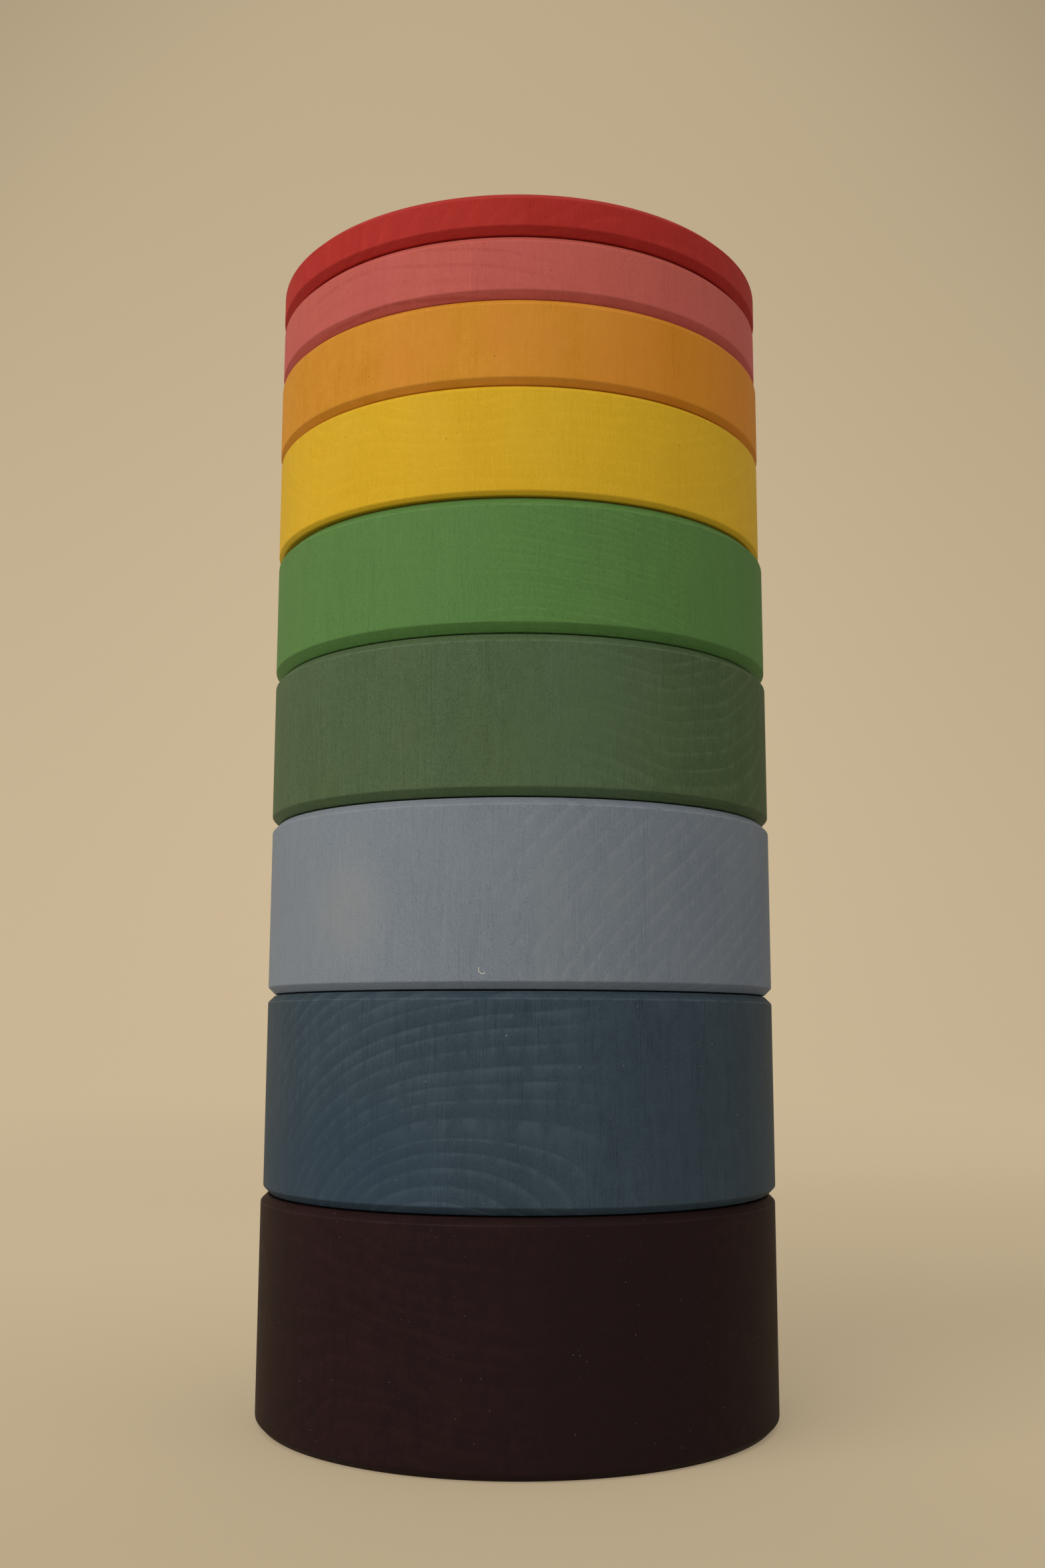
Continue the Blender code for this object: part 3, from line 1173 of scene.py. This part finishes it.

# %% [markdown]
# ## The dark green disc
# At the right, rings hang like smiles. The left half is crossed by many fine upright lines, and a
# wide patch a little right of the middle is paler and cooler.

# %% Dark green disc
# Its drift is painted shade that darkens the right side.
disc("dark_green_disc", 6, 59.7, 0.2, 1.8, (62, 80, 47), (84, 101, 70), (81, 97, 54),
     pith=(-8.9, 30.0, 148.0), lean=(26.6, -5.2, 0), ring_width=1.15, ring_shade=0.26, ring_line=0.36,
     focus=(41.0, -44.0, 150.0), focus_reach=36.0, far_rings=0.12, sanding=0.26, tooth=0.38,
     mottle=0.12, drift=-0.16, patch=(16.0, -57.0, 152.0), patch_reach=(16.0, 30.0, 30.0),
     patch_colour=(85, 106, 80), patch_share=0.3, pit_share=1.0, lint=0.15,
     lint_colour=(125, 140, 112))

# %% [markdown]
# ## The light blue disc
# Slanting rings on the right half rise to the right. A paler, warmer spot lies left of the middle, and
# one pale fibre sticks to the rim low in the middle.

# %% Light blue disc
# Its drift is painted shade that darkens the right side.
disc("light_blue_disc", 7, 59.7, 0.3, 1.6, (102, 110, 118), (129, 134, 138), (127, 131, 130),
     pith=(18.6, 4.9, 109.0), lean=(19.7, 11.5, 0), ring_width=1.9, ring_shade=0.18, ring_line=0.24,
     focus=(35.0, -48.0, 112.0), focus_reach=48.0, far_rings=0.08, sanding=0.18, tooth=0.26,
     cloud=0.08, drift=-0.26, patch=(-36.0, -47.0, 112.0), patch_reach=(7.0, 20.0, 12.0),
     patch_colour=(148, 144, 135), patch_share=0.28, patch_softness=0.6, pit_share=1.0,
     fibre=(-7.8, -59.2, 98.6))

# %% [markdown]
# ## The blue disc
# The boldest figure of all: pale arches over deep blue, where the cut crossed the rings at a slant.
# They fade out towards the right. Low at the left the stain is a cleaner blue.

# %% Blue disc
disc("blue_disc", 8, 59.7, 0.3, 1.6, (42, 55, 64), (66, 79, 86), (46, 62, 67),
     pith=(37.0, -7.1, 72.5), lean=(52.5, -43.8, 0), ring_width=2.88, unevenness=0.6, ring_offset=0.72,
     ring_shade=0.5, ring_line=0.4, focus=(-23.0, -55.0, 80.0), focus_reach=45.0, far_rings=0.06,
     sanding=0.24, band=0.14, mottle=0.16, patch=(-40.0, -44.0, 58.0),
     patch_reach=(24.0, 30.0, 14.0), patch_colour=(42, 58, 72), lint=0.25)

# %% [markdown]
# ## The base disc
# The thickest disc carries the post. Underneath it is whole, and a blind socket in its upper face
# takes the post. It is nearly black brown, a little greyer right of the middle, and shows its long
# grain as level waves. Dust shows best on it.

# %% Base disc
BASE_SEED = 9
BASE_RADIUS = 59.85 * MM
BASE_CHAMFER = 1.5 * MM
SOCKET_RADIUS = 10.3 * MM
SOCKET_FLOOR = 25 * MM
FLAT_MIDDLE = 2 * MM

base_low, base_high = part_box("base_disc")
base_lower = ripple(BASE_SEED, CHAMFER_WANDER)
base_upper = ripple(BASE_SEED + UPPER_SEED, CHAMFER_WANDER)


def base_outline(angle):
    below = BASE_CHAMFER + base_lower(angle)
    above = BASE_CHAMFER + base_upper(angle)
    top = base_high.z
    return soften([
        (FLAT_MIDDLE, 0), (BASE_RADIUS - below, 0), (BASE_RADIUS, below), (BASE_RADIUS, top - above),
        (BASE_RADIUS - above, top), (SOCKET_RADIUS + BORE_CHAMFER, top),
        (SOCKET_RADIUS, top - BORE_CHAMFER), (SOCKET_RADIUS, SOCKET_FLOOR), (FLAT_MIDDLE, SOCKET_FLOOR),
    ], EDGE_SOFTNESS, EDGE_STEPS, closed=False)


base_wood = stained_wood(
    "base_disc_wood", "base_disc", BASE_CHAMFER, BASE_RADIUS, 0.0, BASE_SEED,
    (28, 15, 16), (41, 22, 22), (38, 21, 19),
    pith=(-2.5, 3.0, 25.0), lean=(20, 0, 0), wander=1.8, ring_width=1.2, ring_shade=0.36, ring_line=0.3,
    far_rings=0.8, sanding=0.24, hair=0.2, tooth=0.36, cloud=0.25, band=0.16, mottle=0.36,
    patch=(24.0, -54.0, 25.0), patch_reach=(26.0, 60.0, 60.0), patch_colour=(34, 22, 23),
    patch_share=0.7, wear=0.05, lint=0.85, lint_colour=(135, 121, 112), gloss=0.08,
)
base = lathe("base_disc_turned", base_outline, DISC_SIDES)
dress(base, "base_disc", "base", base_wood)
print("base", len(base.data.polygons), "faces")

# %% [markdown]
# ## Bare beech
# The post is plain beech. It has fine brown flecks, the rays, and almost no rings, so a narrow
# upright noise gives the flecks and the shared groups give the faint rings.

# %% Beech
BEECH_DARK = (188, 148, 104)
BEECH_LIGHT = (222, 190, 146)
BEECH_FLECK = (140, 96, 62)
BEECH_LOG = {"Pith": (38.0, 12.0, 0.0), "Lean": (0.02, 0.01, 0.0), "Wander": 0.8}
BEECH_RING_WIDTH = 2.2
BEECH_GRAIN = (9.0, 9.0, 60.0)
BEECH_TONE = 0.35
BEECH_PUSH = 0.3
BEECH_ROUGHNESS = 0.5
BEECH_RELIEF = 1.0
FLECK_GRAIN = (0.35, 0.35, 2.6)
FLECK_PEAKS = (0.62, 0.74)
FLECK_COVER = 0.4
FLECK_ROUGHNESS = 0.1


def beech_wood():
    material, tree, shader = new_material("beech")
    point = millimetres(tree)
    log = place_group(tree, log_space, {"Point": point} | BEECH_LOG)
    rings = place_group(tree, growth_rings, {"Radius": log["Radius"], "Ring Width": BEECH_RING_WIDTH})
    flecks = ease(tree, noise(tree, point, FLECK_GRAIN), *FLECK_PEAKS)
    streaks = noise(tree, point, BEECH_GRAIN, 2.0)
    tone = pushed(tree, BEECH_TONE, (rings["Shade"], BEECH_PUSH), (streaks, BEECH_PUSH))
    colour = blend_colour(tree, tone, linear(*BEECH_DARK), linear(*BEECH_LIGHT))
    colour = blend_colour(tree, product(tree, flecks, FLECK_COVER), colour, linear(*BEECH_FLECK))
    roughness = pushed(tree, BEECH_ROUGHNESS, (flecks, FLECK_ROUGHNESS))
    finish_surface(tree, shader, colour, roughness, flecks, BEECH_RELIEF)
    return material


beech = beech_wood()
print(beech.name, len(beech.node_tree.nodes), "nodes")

# %% [markdown]
# ## The post
# A plain rod, glued into the base and rounded at the tip, so that discs drop over it easily. It shows
# when discs are lifted off.

# %% Post
POST_RADIUS = 10 * MM
POST_SIDES = 96
FOOT_CHAMFER = 1 * MM
TIP_ROUNDING = 3 * MM
TIP_STEPS = 8

post_low, post_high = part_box("post")


def tip_point(step):
    """A point of the rounded tip, from its side at step 0 to its flat end."""
    angle = QUARTER_TURN * step / TIP_STEPS
    radius = POST_RADIUS - TIP_ROUNDING * (1 - math.cos(angle))
    return radius, post_high.z - TIP_ROUNDING * (1 - math.sin(angle))


post_outline = [(POST_RADIUS - FOOT_CHAMFER, post_low.z), (POST_RADIUS, post_low.z + FOOT_CHAMFER)]
post_outline += [tip_point(step) for step in range(TIP_STEPS + 1)]
post = lathe("post_turned", lambda angle: post_outline, POST_SIDES)
dress(post, "post", "base", beech)
print("post", round((post_high.z - post_low.z) / MM, 1), "mm long")
